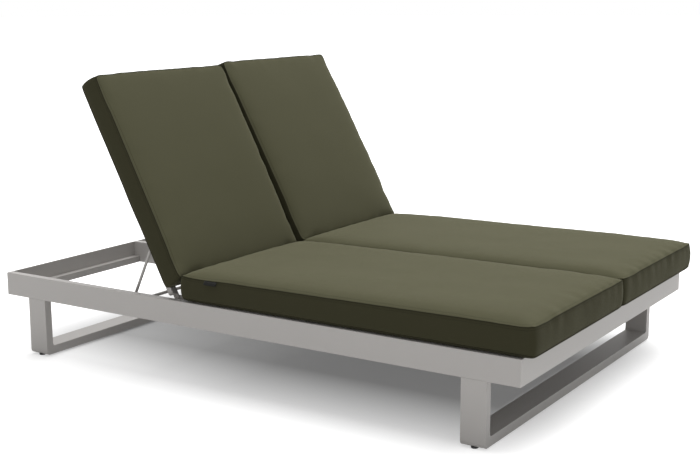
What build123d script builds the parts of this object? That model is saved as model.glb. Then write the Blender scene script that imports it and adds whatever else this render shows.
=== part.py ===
from build123d import *
import os
from math import atan2, cos, degrees, hypot, radians, sin

# Double chaise lounger. A low welded aluminium frame stands on two flat sled legs and
# carries two slatted decks side by side. Two backrests recline on their own, each held
# up by a rod bail whose crossbar stands on notched racks behind it. Two seat cushions
# and two back cushions lie on the decks.
# All sizes are millimetres. Y runs towards the head end, X to the right as seen from
# the foot end, and Z up. The origin is on the floor under the middle of the lounger.
# Left and right are as seen from the foot end.

# Base frame
frame_length = 2000.0
frame_width = 1340.0
rail_height = 80.0
rail_thick = 25.0
beam_thick = 25.0
rail_wall = 2.0
rail_edge_radius = 1.2
floor_to_rail = 204.0
flange_thick = 4.0
ledge_depth = 26.0
ledge_height = 24.0

# Sled legs and their glides
sled_width = 80.0
sled_thick = 30.0
sled_wall = 2.5
sled_setback = 103.0
sled_inner_radius = 10.0
sled_outer_radius = 14.0
sled_edge_radius = 1.5
glide_height = 5.0
glide_radius = 11.0
glide_chamfer = 1.0
glide_stem_radius = 4.0
glide_stem_length = 10.0

# Slatted decks
deck_rise = 2.5
slat_width = 60.0
slat_thick = 8.0
slat_edge_radius = 1.0
slat_end_gap = 1.0
seat_slat_count = 11
angle_leg = 20.0
angle_thick = 3.0
slat_screw_radius = 2.5
slat_screw_head_radius = 5.0
slat_screw_length = 16.0

# Hinge between the base frame and a backrest
hinge_setback = 742.0
hinge_rail_depth = 30.0
hinge_rail_height = 40.0
hinge_rail_reach = 28.0
plate_thick = 5.0
plate_nose_radius = 10.0
bracket_flange_width = 30.0
bracket_flange_height = 30.0
pivot_radius = 4.0
pivot_head_radius = 6.5
pivot_head_height = 4.0
nut_thick = 6.0
tongue_length = 60.0

# Backrest frame
back_angle = 62.0
back_tube = 20.0
back_wall = 1.8
back_tube_edge_radius = 1.5
back_corner_radius = 8.0
back_side_gap = 9.0
back_start = 15.0
back_head_gap = 3.0
cross_tube_start = 70.0
back_slat_count = 6

# Prop bail and its racks
prop_spread = 105.2
crossbar_drop = 42.0
prop_ratio = 1.895
leg_rod_radius = 5.0
crossbar_radius = 5.5
eye_radius = 9.0
eye_length = 12.0
crossbar_end_gap = 3.0
rack_thick = 10.0
rack_height = 18.0
rack_end_length = 24.0
notch_width = 13.0
notch_depth = 8.0
notch_angle_shares = (0.0, 0.26, 0.52, 0.77, 1.0)

# Screws
screw_radius = 3.0
screw_head_radius = 5.0
screw_head_height = 3.0
screw_reach = 6.0
rack_screw_radius = 2.0
rack_screw_head_radius = 3.6
rack_screw_head_height = 2.0
leg_bolt_radius = 4.0
leg_bolt_head_radius = 6.5
leg_bolt_head_height = 8.0
leg_bolt_spacing = 40.0
leg_bolt_length = 18.0
leg_nut_height = 6.5

# Cushions
cushion_overhang = 40.0
cushion_split = 3.0
cushion_thick = 80.0
seat_low_thick = 90.0
seat_crown = 22.0
back_crown = 20.0
cushion_bulge = 6.0
cushion_draw = 5.0
cushion_end_round = 9.0
back_cushion_start = 44.0
back_cushion_overhang = 46.0
station_shares = (0.0, 0.012, 0.04, 0.16, 0.36, 0.64, 0.84, 0.96, 0.988, 1.0)
end_shares = (1.0, 0.35, 0.0, 0.0, 0.0, 0.0, 0.0, 0.0, 0.35, 1.0)
crown_shares = (0.15, 0.3, 0.45, 0.75, 1.0, 1.0, 0.75, 0.45, 0.3, 0.15)
draw_shares = (0.0, 0.0, 0.1, 0.5, 1.0, 1.0, 0.5, 0.1, 0.0, 0.0)

# Clearances
running_gap = 0.05
screw_gap = 0.2
side_play = 0.3
soft_gap = 0.3
cushion_end_gap = 2.9
tooth_gap = 1.8
overrun = 1.0

# Heights and lines worked out from the sizes above
half_width = frame_width / 2
head_y = (frame_length + cushion_overhang) / 2
foot_y = head_y - frame_length
rail_top = floor_to_rail + rail_height
deck_top = rail_top + deck_rise
shelf_top = deck_top - slat_thick
bay_width = half_width - rail_thick - beam_thick / 2
bay_centre = beam_thick / 2 + bay_width / 2
hinge_y = head_y - hinge_setback
hinge_z = deck_top - back_tube / 2
hinge_rail_face = hinge_y - hinge_rail_reach
back_half = bay_width / 2 - back_side_gap
tongue_face = back_half - back_tube
post_y = half_width - sled_thick
sled_centres = (head_y - sled_setback - sled_width / 2, foot_y + sled_setback + sled_width / 2)
cushion_width = half_width - cushion_split / 2

back_end = hinge_setback - flange_thick - back_head_gap
back_deck_room = back_end - 2 * back_tube - cross_tube_start
back_slat_gap = (back_deck_room - back_slat_count * slat_width) / (back_slat_count + 1)
back_pitch = slat_width + back_slat_gap
back_deck_start = cross_tube_start + back_tube + back_slat_gap
prop_pivot_reach = back_deck_start + slat_width + back_slat_gap / 2

tilt = radians(back_angle)
back_offset = back_tube / 2 + soft_gap
back_cushion_length = back_end + back_cushion_overhang - back_cushion_start
back_front_y = (
    hinge_y + back_cushion_start * cos(tilt) - (back_offset + cushion_thick) * sin(tilt)
)
seat_end = back_front_y - cushion_end_gap
prop_rise = prop_pivot_reach * sin(tilt) + crossbar_drop
prop_length = hypot(prop_spread, prop_rise)
prop_lean = atan2(prop_rise, prop_spread)
pivot_y = hinge_y + prop_pivot_reach * cos(tilt)
pivot_z = hinge_z + prop_pivot_reach * sin(tilt)
foot_z = hinge_z - crossbar_drop
rack_top = foot_z - crossbar_radius - tooth_gap
leg_plane = tongue_face - side_play - eye_length / 2


def crossbar_place(angle):
    """Y of the bail's crossbar when the backrest stands at this angle in radians."""
    lean = prop_lean - (prop_ratio - 1) * (tilt - angle)
    return hinge_y + prop_pivot_reach * cos(angle) + prop_length * cos(lean)


notch_places = [crossbar_place(tilt * share) for share in notch_angle_shares]
rack_start = min(notch_places) - rack_end_length
rack_end = max(notch_places) + rack_end_length
rack_screw_places = (
    (notch_places[0] + notch_places[1]) / 2,
    (notch_places[3] + notch_places[4]) / 2,
)
rack_screw_z = rack_top - rack_height + rack_screw_head_radius + screw_gap

tongue_screw_places = (
    back_start + screw_head_radius + side_play,
    tongue_length - screw_head_radius - side_play,
)

seat_deck_start = foot_y + rail_thick
seat_deck_end = hinge_rail_face - hinge_rail_depth
seat_slat_gap = (seat_deck_end - seat_deck_start - seat_slat_count * slat_width) / (seat_slat_count + 1)
seat_slat_places = [
    seat_deck_start + seat_slat_gap + slat_width / 2 + i * (slat_width + seat_slat_gap)
    for i in range(seat_slat_count)
]
slat_screw_x = bay_width / 2 - angle_leg / 2

sides = (("left", -1), ("right", 1))
edges_of_bay = (("outer", 1), ("inner", -1))

os.makedirs("parts", exist_ok=True)


def save(builder, label):
    """Label a finished piece and write its STEP file."""
    builder.part.label = label
    export_step(builder.part, f"parts/{label}.step")


def side_plane(x, y, z, angle):
    """Plane square to X at a point, with its own X axis tilted up from Y by the angle."""
    return Plane(origin=(x, y, z), x_dir=(0, cos(angle), sin(angle)), z_dir=(1, 0, 0))


def back_plane(x):
    """Plane along a backrest through its hinge line, facing the sitter."""
    return Plane(origin=(x, hinge_y, hinge_z), x_dir=(1, 0, 0), z_dir=(0, -sin(tilt), cos(tilt)))


back_axis = Axis((0, 0, 0), (0, cos(tilt), sin(tilt)))
beyond = frame_width


# Side rails
# Box tubes, mitred at the foot corners and square at the head end.

for side, sign in sides:
    with BuildPart() as side_rail:
        with BuildSketch(Plane.XY.offset(floor_to_rail)) as rail_plan:
            with BuildLine():
                Polyline(
                    (sign * half_width, foot_y),
                    (sign * half_width, head_y),
                    (sign * (half_width - rail_thick), head_y),
                    (sign * (half_width - rail_thick), foot_y + rail_thick),
                    close=True,
                )
            make_face()
        extrude(amount=rail_height)
        fillet(side_rail.edges().filter_by(Axis.Y), radius=rail_edge_radius)
        with BuildSketch(Plane.XY.offset(floor_to_rail + rail_wall)):
            add(rail_plan.sketch_local)
            offset(amount=-rail_wall, kind=Kind.INTERSECTION, mode=Mode.REPLACE)
        extrude(amount=rail_height - 2 * rail_wall, mode=Mode.SUBTRACT)
        bolt_x = sign * (half_width - rail_thick / 2)
        for centre in sled_centres:
            with Locations((bolt_x, centre, floor_to_rail + rail_wall / 2)):
                with GridLocations(0, leg_bolt_spacing, 1, 2):
                    Cylinder(leg_bolt_radius + screw_gap, rail_wall + overrun, mode=Mode.SUBTRACT)
        wall_x = sign * (half_width - rail_thick + rail_wall / 2)
        for place in rack_screw_places:
            with Locations((wall_x, place, rack_screw_z)):
                Cylinder(
                    rack_screw_radius + screw_gap,
                    rail_wall + overrun,
                    rotation=(0, 90, 0),
                    mode=Mode.SUBTRACT,
                )
    save(side_rail, f"side_rail_{side}")

# Foot rail
# A box tube across the foot end, mitred to the side rails.

with BuildPart() as foot_rail:
    with BuildSketch(Plane.XY.offset(floor_to_rail)) as foot_plan:
        with BuildLine():
            Polyline(
                (-half_width, foot_y),
                (half_width, foot_y),
                (half_width - rail_thick, foot_y + rail_thick),
                (rail_thick - half_width, foot_y + rail_thick),
                close=True,
            )
        make_face()
    extrude(amount=rail_height)
    fillet(foot_rail.edges().filter_by(Axis.X), radius=rail_edge_radius)
    with BuildSketch(Plane.XY.offset(floor_to_rail + rail_wall)):
        add(foot_plan.sketch_local)
        offset(amount=-rail_wall, kind=Kind.INTERSECTION, mode=Mode.REPLACE)
    extrude(amount=rail_height - 2 * rail_wall, mode=Mode.SUBTRACT)
save(foot_rail, "foot_rail")

# Head rail
# A thin upright flange with a hollow ledge along the inside of its foot.

ledge_front = head_y - flange_thick - ledge_depth
ledge_top = floor_to_rail + ledge_height
head_rail_length = frame_width - 2 * rail_thick
with BuildPart() as head_rail:
    with BuildSketch(Plane.YZ.offset(-head_rail_length / 2)):
        with BuildLine():
            Polyline(
                (ledge_front, floor_to_rail),
                (head_y, floor_to_rail),
                (head_y, rail_top),
                (head_y - flange_thick, rail_top),
                (head_y - flange_thick, ledge_top),
                (ledge_front, ledge_top),
                close=True,
            )
        make_face()
    extrude(amount=head_rail_length)
    long_edges = head_rail.edges().filter_by(Axis.X)
    inner_corner = long_edges.filter_by_position(Axis.Z, ledge_top, ledge_top)
    fillet([edge for edge in long_edges if edge not in inner_corner], radius=rail_edge_radius)
    with Locations((0, ledge_front + rail_wall, floor_to_rail + rail_wall)):
        Box(
            head_rail_length - 2 * rail_wall,
            ledge_depth - rail_wall,
            ledge_height - 2 * rail_wall,
            align=(Align.CENTER, Align.MIN, Align.MIN),
            mode=Mode.SUBTRACT,
        )
save(head_rail, "head_rail")

# Centre beam
# A box tube down the middle, sawn round the ledge of the head rail.

with BuildPart() as centre_beam:
    with BuildSketch(Plane.YZ.offset(-beam_thick / 2)) as beam_side:
        with BuildLine():
            Polyline(
                (foot_y + rail_thick, floor_to_rail),
                (ledge_front, floor_to_rail),
                (ledge_front, ledge_top),
                (head_y - flange_thick, ledge_top),
                (head_y - flange_thick, rail_top),
                (foot_y + rail_thick, rail_top),
                close=True,
            )
        make_face()
    extrude(amount=beam_thick)
    fillet(centre_beam.edges().filter_by(Axis.Y), radius=rail_edge_radius)
    with BuildSketch(Plane.YZ.offset(rail_wall - beam_thick / 2)):
        add(beam_side.sketch_local)
        offset(amount=-rail_wall, kind=Kind.INTERSECTION, mode=Mode.REPLACE)
    extrude(amount=beam_thick - 2 * rail_wall, mode=Mode.SUBTRACT)
    for place in rack_screw_places:
        with Locations((0, place, rack_screw_z)):
            Cylinder(
                rack_screw_radius + screw_gap,
                beam_thick + overrun,
                rotation=(0, 90, 0),
                mode=Mode.SUBTRACT,
            )
save(centre_beam, "centre_beam")

# Hinge rails
# One box tube across each bay, just below the deck, that carries the hinge brackets.

bracket_face = tongue_face - plate_thick - side_play
bracket_screw_x = bracket_face - bracket_flange_width + screw_head_radius + side_play
bracket_flange_top = shelf_top - side_play
bracket_screw_places = (
    bracket_flange_top - screw_head_radius - side_play,
    bracket_flange_top - bracket_flange_height + screw_head_radius + side_play,
)
for side, sign in sides:
    with BuildPart() as hinge_rail:
        with Locations((sign * bay_centre, hinge_rail_face, shelf_top)):
            Box(
                bay_width,
                hinge_rail_depth,
                hinge_rail_height,
                align=(Align.CENTER, Align.MAX, Align.MAX),
            )
        fillet(hinge_rail.edges().filter_by(Axis.X), radius=rail_edge_radius)
        with Locations((sign * bay_centre, hinge_rail_face - rail_wall, shelf_top - rail_wall)):
            Box(
                bay_width - 2 * rail_wall,
                hinge_rail_depth - 2 * rail_wall,
                hinge_rail_height - 2 * rail_wall,
                align=(Align.CENTER, Align.MAX, Align.MAX),
                mode=Mode.SUBTRACT,
            )
        for height in bracket_screw_places:
            with Locations((sign * bay_centre, hinge_rail_face - rail_wall / 2, height)):
                with GridLocations(2 * bracket_screw_x, 0, 2, 1):
                    Cylinder(
                        screw_radius + screw_gap,
                        rail_wall + overrun,
                        rotation=(90, 0, 0),
                        mode=Mode.SUBTRACT,
                    )
    save(hinge_rail, f"hinge_rail_{side}")

# Seat ledges
# Two angles along the bay that carry the ends of the seat slats.

seat_deck_length = seat_deck_end - seat_deck_start
for side, sign in sides:
    with BuildPart() as seat_ledges:
        for hand in (-1, 1):
            wall_x = sign * bay_centre + hand * bay_width / 2
            with BuildSketch(Plane.XZ.offset(-seat_deck_end)):
                with BuildLine():
                    Polyline(
                        (wall_x, shelf_top),
                        (wall_x, shelf_top - angle_leg),
                        (wall_x - hand * angle_thick, shelf_top - angle_leg),
                        (wall_x - hand * angle_thick, shelf_top - angle_thick),
                        (wall_x - hand * angle_leg, shelf_top - angle_thick),
                        (wall_x - hand * angle_leg, shelf_top),
                        close=True,
                    )
                make_face()
            extrude(amount=seat_deck_length)
        for place in seat_slat_places:
            with Locations((sign * bay_centre, place, shelf_top - angle_thick / 2)):
                with GridLocations(2 * slat_screw_x, 0, 2, 1):
                    Cylinder(slat_screw_radius + screw_gap, angle_thick + overrun, mode=Mode.SUBTRACT)
    save(seat_ledges, f"seat_ledges_{side}")

# Seat slats
# Flat bars across the bay, countersunk for the screws at their ends.

for side, sign in sides:
    with BuildPart() as seat_slats:
        for place in seat_slat_places:
            with Locations((sign * bay_centre, place, shelf_top)):
                Box(
                    bay_width - 2 * slat_end_gap,
                    slat_width,
                    slat_thick,
                    align=(Align.CENTER, Align.CENTER, Align.MIN),
                )
        fillet(seat_slats.edges().filter_by(Axis.X), radius=slat_edge_radius)
        for place in seat_slat_places:
            with Locations((sign * bay_centre, place, deck_top)):
                with GridLocations(2 * slat_screw_x, 0, 2, 1):
                    CounterSinkHole(
                        slat_screw_radius + screw_gap,
                        slat_screw_head_radius + screw_gap,
                        counter_sink_angle=90,
                    )
    save(seat_slats, f"seat_slats_{side}")

# Slat screws
# Countersunk screws, flush with the deck, through slat and ledge.

sink_depth = slat_screw_head_radius - slat_screw_radius
for side, sign in sides:
    with BuildPart() as slat_screws:
        for place in seat_slat_places:
            for hand in (-1, 1):
                screw_x = sign * bay_centre + hand * slat_screw_x
                with BuildSketch(Plane.XZ.offset(-place)):
                    with BuildLine():
                        Polyline(
                            (screw_x, deck_top),
                            (screw_x + slat_screw_head_radius, deck_top),
                            (screw_x + slat_screw_radius, deck_top - sink_depth),
                            (screw_x + slat_screw_radius, deck_top - slat_screw_length),
                            (screw_x, deck_top - slat_screw_length),
                            close=True,
                        )
                    make_face()
                revolve(axis=Axis((screw_x, place, 0), (0, 0, 1)))
    save(slat_screws, f"seat_slat_screws_{side}")

# Sled legs
# One closed flat tube each, bent up at both ends under the side rails.

sled_places = (("head", sled_centres[0]), ("foot", sled_centres[1]))
for label, centre in sled_places:
    with BuildPart() as sled_leg:
        with BuildSketch(Plane.XZ.offset(-centre - sled_width / 2)) as sled_shape:
            with BuildLine() as sled_outline:
                Polyline(
                    (-half_width, floor_to_rail),
                    (-half_width, glide_height),
                    (half_width, glide_height),
                    (half_width, floor_to_rail),
                    (post_y, floor_to_rail),
                    (post_y, glide_height + sled_thick),
                    (-post_y, glide_height + sled_thick),
                    (-post_y, floor_to_rail),
                    close=True,
                )
            make_face()
            fillet(sled_shape.vertices().group_by(Axis.Y)[0], radius=sled_outer_radius)
            inner_corners = sled_shape.vertices().filter_by_position(
                Axis.Y,
                glide_height + sled_thick - overrun,
                glide_height + sled_thick + overrun,
            )
            fillet(inner_corners, radius=sled_inner_radius)
        extrude(amount=sled_width)
        rim = sled_leg.faces().filter_by(Axis.Y).edges()
        top_rim = rim.group_by(Axis.Z)[-1]
        fillet([edge for edge in rim if edge not in top_rim], radius=sled_edge_radius)
        with BuildSketch(Plane.XZ.offset(-centre - sled_width / 2 + sled_wall)):
            add(sled_shape.sketch_local)
            offset(amount=-sled_wall, kind=Kind.INTERSECTION, mode=Mode.REPLACE)
        extrude(amount=sled_width - 2 * sled_wall, mode=Mode.SUBTRACT)
        with Locations((0, centre, floor_to_rail - sled_wall / 2)):
            with GridLocations(frame_width - rail_thick, leg_bolt_spacing, 2, 2):
                Cylinder(leg_bolt_radius + screw_gap, sled_wall + overrun, mode=Mode.SUBTRACT)
        with Locations((0, centre, glide_height + sled_wall / 2)):
            with GridLocations(frame_width - sled_thick, 0, 2, 1):
                Cylinder(glide_stem_radius + screw_gap, sled_wall + overrun, mode=Mode.SUBTRACT)
    save(sled_leg, f"{label}_sled_leg")

# Glide feet
# Black nylon discs under the four corners of the sled legs, pushed in by their stems.

with BuildPart() as glide_feet:
    for label, centre in sled_places:
        with Locations((0, centre, 0)):
            with GridLocations(frame_width - sled_thick, 0, 2, 1):
                Cylinder(glide_radius, glide_height, align=(Align.CENTER, Align.CENTER, Align.MIN))
    chamfer(glide_feet.edges().group_by(Axis.Z)[0], length=glide_chamfer)
    for label, centre in sled_places:
        with Locations((0, centre, glide_height)):
            with GridLocations(frame_width - sled_thick, 0, 2, 1):
                Cylinder(
                    glide_stem_radius,
                    glide_stem_length,
                    align=(Align.CENTER, Align.CENTER, Align.MIN),
                )
save(glide_feet, "glide_feet")

# Leg bolts and nuts
# Inside the posts and rails, two pairs to each post.

with BuildPart() as leg_bolts:
    for label, centre in sled_places:
        with Locations((0, centre, floor_to_rail - sled_wall)):
            with GridLocations(frame_width - rail_thick, leg_bolt_spacing, 2, 2):
                Cylinder(
                    leg_bolt_head_radius,
                    leg_bolt_head_height,
                    align=(Align.CENTER, Align.CENTER, Align.MAX),
                )
                Cylinder(
                    leg_bolt_radius,
                    leg_bolt_length,
                    align=(Align.CENTER, Align.CENTER, Align.MIN),
                )
save(leg_bolts, "leg_bolts")

with BuildPart() as leg_nuts:
    for label, centre in sled_places:
        with Locations((0, centre, floor_to_rail + rail_wall)):
            with GridLocations(frame_width - rail_thick, leg_bolt_spacing, 2, 2):
                Cylinder(
                    leg_bolt_head_radius,
                    leg_nut_height,
                    align=(Align.CENTER, Align.CENTER, Align.MIN),
                )
                Cylinder(
                    leg_bolt_radius + running_gap,
                    leg_nut_height,
                    align=(Align.CENTER, Align.CENTER, Align.MIN),
                    mode=Mode.SUBTRACT,
                )
save(leg_nuts, "leg_nuts")

# Hinge brackets
# Angle plates on the hinge rail whose rounded ears hold the pivot bolts.

for side, sign in sides:
    for edge_name, edge_sign in edges_of_bay:
        hand = sign * edge_sign
        ear_x = sign * bay_centre + hand * bracket_face
        with BuildPart() as hinge_bracket:
            with BuildSketch(Plane.YZ.offset(ear_x)):
                with Locations((hinge_rail_face, hinge_z)):
                    Rectangle(
                        hinge_rail_reach,
                        2 * plate_nose_radius,
                        align=(Align.MIN, Align.CENTER),
                    )
                with Locations((hinge_y, hinge_z)):
                    Circle(plate_nose_radius)
            extrude(amount=-hand * plate_thick)
            with Locations((ear_x, hinge_rail_face, bracket_flange_top)):
                Box(
                    bracket_flange_width,
                    plate_thick,
                    bracket_flange_height,
                    align=(Align.MAX if hand > 0 else Align.MIN, Align.MIN, Align.MAX),
                )
            with Locations((ear_x, hinge_y, hinge_z)):
                Cylinder(
                    pivot_radius + running_gap,
                    2 * plate_thick + overrun,
                    rotation=(0, 90, 0),
                    mode=Mode.SUBTRACT,
                )
            for height in bracket_screw_places:
                screw_x = sign * bay_centre + hand * bracket_screw_x
                with Locations((screw_x, hinge_rail_face + plate_thick / 2, height)):
                    Cylinder(
                        screw_radius + screw_gap,
                        plate_thick + overrun,
                        rotation=(90, 0, 0),
                        mode=Mode.SUBTRACT,
                    )
        save(hinge_bracket, f"hinge_bracket_{side}_{edge_name}")

# Bracket screws
# Pan heads on the bracket flanges, with shanks into the hinge rails.

with BuildPart() as bracket_screws:
    for side, sign in sides:
        for hand in (-1, 1):
            for height in bracket_screw_places:
                screw_x = sign * bay_centre + hand * bracket_screw_x
                head_seat = hinge_rail_face + plate_thick
                with Locations((screw_x, head_seat, height)):
                    Cylinder(
                        screw_head_radius,
                        screw_head_height,
                        rotation=(-90, 0, 0),
                        align=(Align.CENTER, Align.CENTER, Align.MIN),
                    )
                    Cylinder(
                        screw_radius,
                        plate_thick + screw_reach,
                        rotation=(90, 0, 0),
                        align=(Align.CENTER, Align.CENTER, Align.MIN),
                    )
save(bracket_screws, "bracket_screws")

# Pivot bolts and nuts
# A round head outside each tongue, a shank through tongue and ear, and a hex nut inside.

pivot_grip = 2 * plate_thick + 2 * side_play
with BuildPart() as pivot_bolts:
    for side, sign in sides:
        for hand in (-1, 1):
            head_x = sign * bay_centre + hand * (tongue_face + side_play)
            bolt_plane = Plane(origin=(head_x, hinge_y, hinge_z), x_dir=(0, 1, 0), z_dir=(hand, 0, 0))
            with BuildSketch(bolt_plane):
                Circle(pivot_head_radius)
            extrude(amount=pivot_head_height)
            with BuildSketch(bolt_plane):
                Circle(pivot_radius)
            extrude(amount=-pivot_grip - nut_thick - overrun)
save(pivot_bolts, "pivot_bolts")

with BuildPart() as pivot_nuts:
    for side, sign in sides:
        for hand in (-1, 1):
            nut_x = sign * bay_centre + hand * (bracket_face - plate_thick)
            nut_plane = Plane(origin=(nut_x, hinge_y, hinge_z), x_dir=(0, 1, 0), z_dir=(hand, 0, 0))
            with BuildSketch(nut_plane):
                RegularPolygon(pivot_head_radius, 6, major_radius=False)
                Circle(pivot_radius + running_gap, mode=Mode.SUBTRACT)
            extrude(amount=-nut_thick)
save(pivot_nuts, "pivot_nuts")

# Racks
# Notched bars on the inner faces of the side rails and on both faces of the beam.

for side, sign in sides:
    for edge_name, edge_sign in edges_of_bay:
        hand = sign * edge_sign
        wall_x = sign * bay_centre + hand * bay_width / 2
        with BuildPart() as rack:
            with BuildSketch(Plane.YZ.offset(wall_x)):
                with Locations((rack_start, rack_top)):
                    Rectangle(rack_end - rack_start, rack_height, align=(Align.MIN, Align.MAX))
                for place in notch_places:
                    with Locations((place, rack_top)):
                        Rectangle(
                            notch_width,
                            2 * (notch_depth - notch_width / 2),
                            mode=Mode.SUBTRACT,
                        )
                    with Locations((place, rack_top - notch_depth + notch_width / 2)):
                        Circle(notch_width / 2, mode=Mode.SUBTRACT)
            extrude(amount=-hand * rack_thick)
            for place in rack_screw_places:
                with Locations((wall_x - hand * rack_thick / 2, place, rack_screw_z)):
                    Cylinder(
                        rack_screw_radius + screw_gap,
                        rack_thick + overrun,
                        rotation=(0, 90, 0),
                        mode=Mode.SUBTRACT,
                    )
        save(rack, f"prop_rack_{side}_{edge_name}")

with BuildPart() as rack_screws:
    for side, sign in sides:
        for hand in (-1, 1):
            for place in rack_screw_places:
                seat_x = sign * bay_centre + hand * (bay_width / 2 - rack_thick)
                screw_plane = Plane(
                    origin=(seat_x, place, rack_screw_z), x_dir=(0, 1, 0), z_dir=(-hand, 0, 0)
                )
                with BuildSketch(screw_plane):
                    Circle(rack_screw_head_radius)
                extrude(amount=rack_screw_head_height)
                with BuildSketch(screw_plane):
                    Circle(rack_screw_radius)
                extrude(amount=-rack_thick - screw_reach)
save(rack_screws, "rack_screws")

# Backrest side tubes
# Closed square tubes, rounded at the outer corner of the lower end.

for side, sign in sides:
    for edge_name, edge_sign in edges_of_bay:
        hand = sign * edge_sign
        tube_x = sign * bay_centre + hand * (back_half - back_tube / 2)
        with BuildPart() as side_tube:
            with BuildSketch(back_plane(tube_x).offset(-back_tube / 2)) as tube_shape:
                with Locations((0, back_start)):
                    Rectangle(back_tube, back_end - back_start, align=(Align.CENTER, Align.MIN))
                low_corners = tube_shape.vertices().group_by(Axis.Y)[0]
                fillet(low_corners.sort_by(Axis.X)[-1 if hand > 0 else 0], radius=back_corner_radius)
            extrude(amount=back_tube)
            fillet(side_tube.edges().filter_by(back_axis), radius=back_tube_edge_radius)
            with BuildSketch(back_plane(tube_x).offset(-back_tube / 2 + back_wall)):
                add(tube_shape.sketch_local)
                offset(amount=-back_wall, kind=Kind.INTERSECTION, mode=Mode.REPLACE)
            extrude(amount=back_tube - 2 * back_wall, mode=Mode.SUBTRACT)
            inner_wall_x = tube_x - hand * (back_tube / 2 - back_wall / 2)
            for reach in tongue_screw_places + (prop_pivot_reach,):
                radius = pivot_radius if reach == prop_pivot_reach else screw_radius
                hole_y = hinge_y + reach * cos(tilt)
                hole_z = hinge_z + reach * sin(tilt)
                with Locations((inner_wall_x, hole_y, hole_z)):
                    Cylinder(
                        radius + screw_gap,
                        back_wall + overrun,
                        rotation=(0, 90, 0),
                        mode=Mode.SUBTRACT,
                    )
        save(side_tube, f"back_side_tube_{side}_{edge_name}")

# Backrest cross tubes
# One near the hinge and one at the top, between the side tubes.

cross_tubes = (("lower", cross_tube_start), ("top", back_end - back_tube))
for side, sign in sides:
    for level, start in cross_tubes:
        with BuildPart() as cross_tube:
            with BuildSketch(back_plane(sign * bay_centre).offset(-back_tube / 2)):
                with Locations((0, start)):
                    Rectangle(2 * tongue_face, back_tube, align=(Align.CENTER, Align.MIN))
            extrude(amount=back_tube)
            fillet(cross_tube.edges().filter_by(Axis.X), radius=back_tube_edge_radius)
            with BuildSketch(back_plane(sign * bay_centre).offset(-back_tube / 2 + back_wall)):
                with Locations((0, start + back_wall)):
                    Rectangle(
                        2 * (tongue_face - back_wall),
                        back_tube - 2 * back_wall,
                        align=(Align.CENTER, Align.MIN),
                    )
            extrude(amount=back_tube - 2 * back_wall, mode=Mode.SUBTRACT)
        save(cross_tube, f"back_{level}_tube_{side}")

# Backrest slats
# Flat bars welded between the side tubes, flush with their front.

for side, sign in sides:
    with BuildPart() as back_slats:
        with BuildSketch(back_plane(sign * bay_centre).offset(back_tube / 2 - slat_thick)):
            for i in range(back_slat_count):
                with Locations((0, back_deck_start + i * back_pitch)):
                    Rectangle(2 * tongue_face, slat_width, align=(Align.CENTER, Align.MIN))
        extrude(amount=slat_thick)
        fillet(back_slats.edges().filter_by(Axis.X), radius=slat_edge_radius)
    save(back_slats, f"back_slats_{side}")

# Hinge tongues
# Flat plates screwed to the inner faces of the side tubes, with the pivot hole below.

for side, sign in sides:
    with BuildPart() as hinge_tongues:
        for hand in (-1, 1):
            face_x = sign * bay_centre + hand * tongue_face
            with BuildSketch(side_plane(face_x, hinge_y, hinge_z, tilt)):
                Circle(plate_nose_radius)
                Rectangle(tongue_length, 2 * plate_nose_radius, align=(Align.MIN, Align.CENTER))
                Circle(pivot_radius + running_gap, mode=Mode.SUBTRACT)
                for reach in tongue_screw_places:
                    with Locations((reach, 0)):
                        Circle(screw_radius + screw_gap, mode=Mode.SUBTRACT)
            extrude(amount=-hand * plate_thick)
    save(hinge_tongues, f"hinge_tongues_{side}")

    with BuildPart() as tongue_screws:
        for hand in (-1, 1):
            seat_x = sign * bay_centre + hand * (tongue_face - plate_thick)
            for reach in tongue_screw_places:
                with BuildSketch(side_plane(seat_x, hinge_y, hinge_z, tilt)):
                    with Locations((reach, 0)):
                        Circle(screw_head_radius)
                extrude(amount=-hand * screw_head_height)
                with BuildSketch(side_plane(seat_x, hinge_y, hinge_z, tilt)):
                    with Locations((reach, 0)):
                        Circle(screw_radius)
                extrude(amount=hand * (plate_thick + screw_reach))
    save(tongue_screws, f"tongue_screws_{side}")

# Prop pins
# Shouldered pins in the side tubes on which the bail swings.

for side, sign in sides:
    with BuildPart() as prop_pins:
        for hand in (-1, 1):
            head_x = sign * bay_centre + hand * (leg_plane - eye_length / 2 - side_play)
            with BuildSketch(side_plane(head_x, pivot_y, pivot_z, tilt)):
                Circle(pivot_head_radius)
            extrude(amount=-hand * pivot_head_height)
            with BuildSketch(side_plane(head_x, pivot_y, pivot_z, tilt)):
                Circle(pivot_radius)
            extrude(amount=hand * (eye_length + 2 * side_play + screw_reach))
    save(prop_pins, f"prop_pins_{side}")

# Prop bails
# Two rods with an eye at the top, joined below by a crossbar that reaches both racks.

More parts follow.
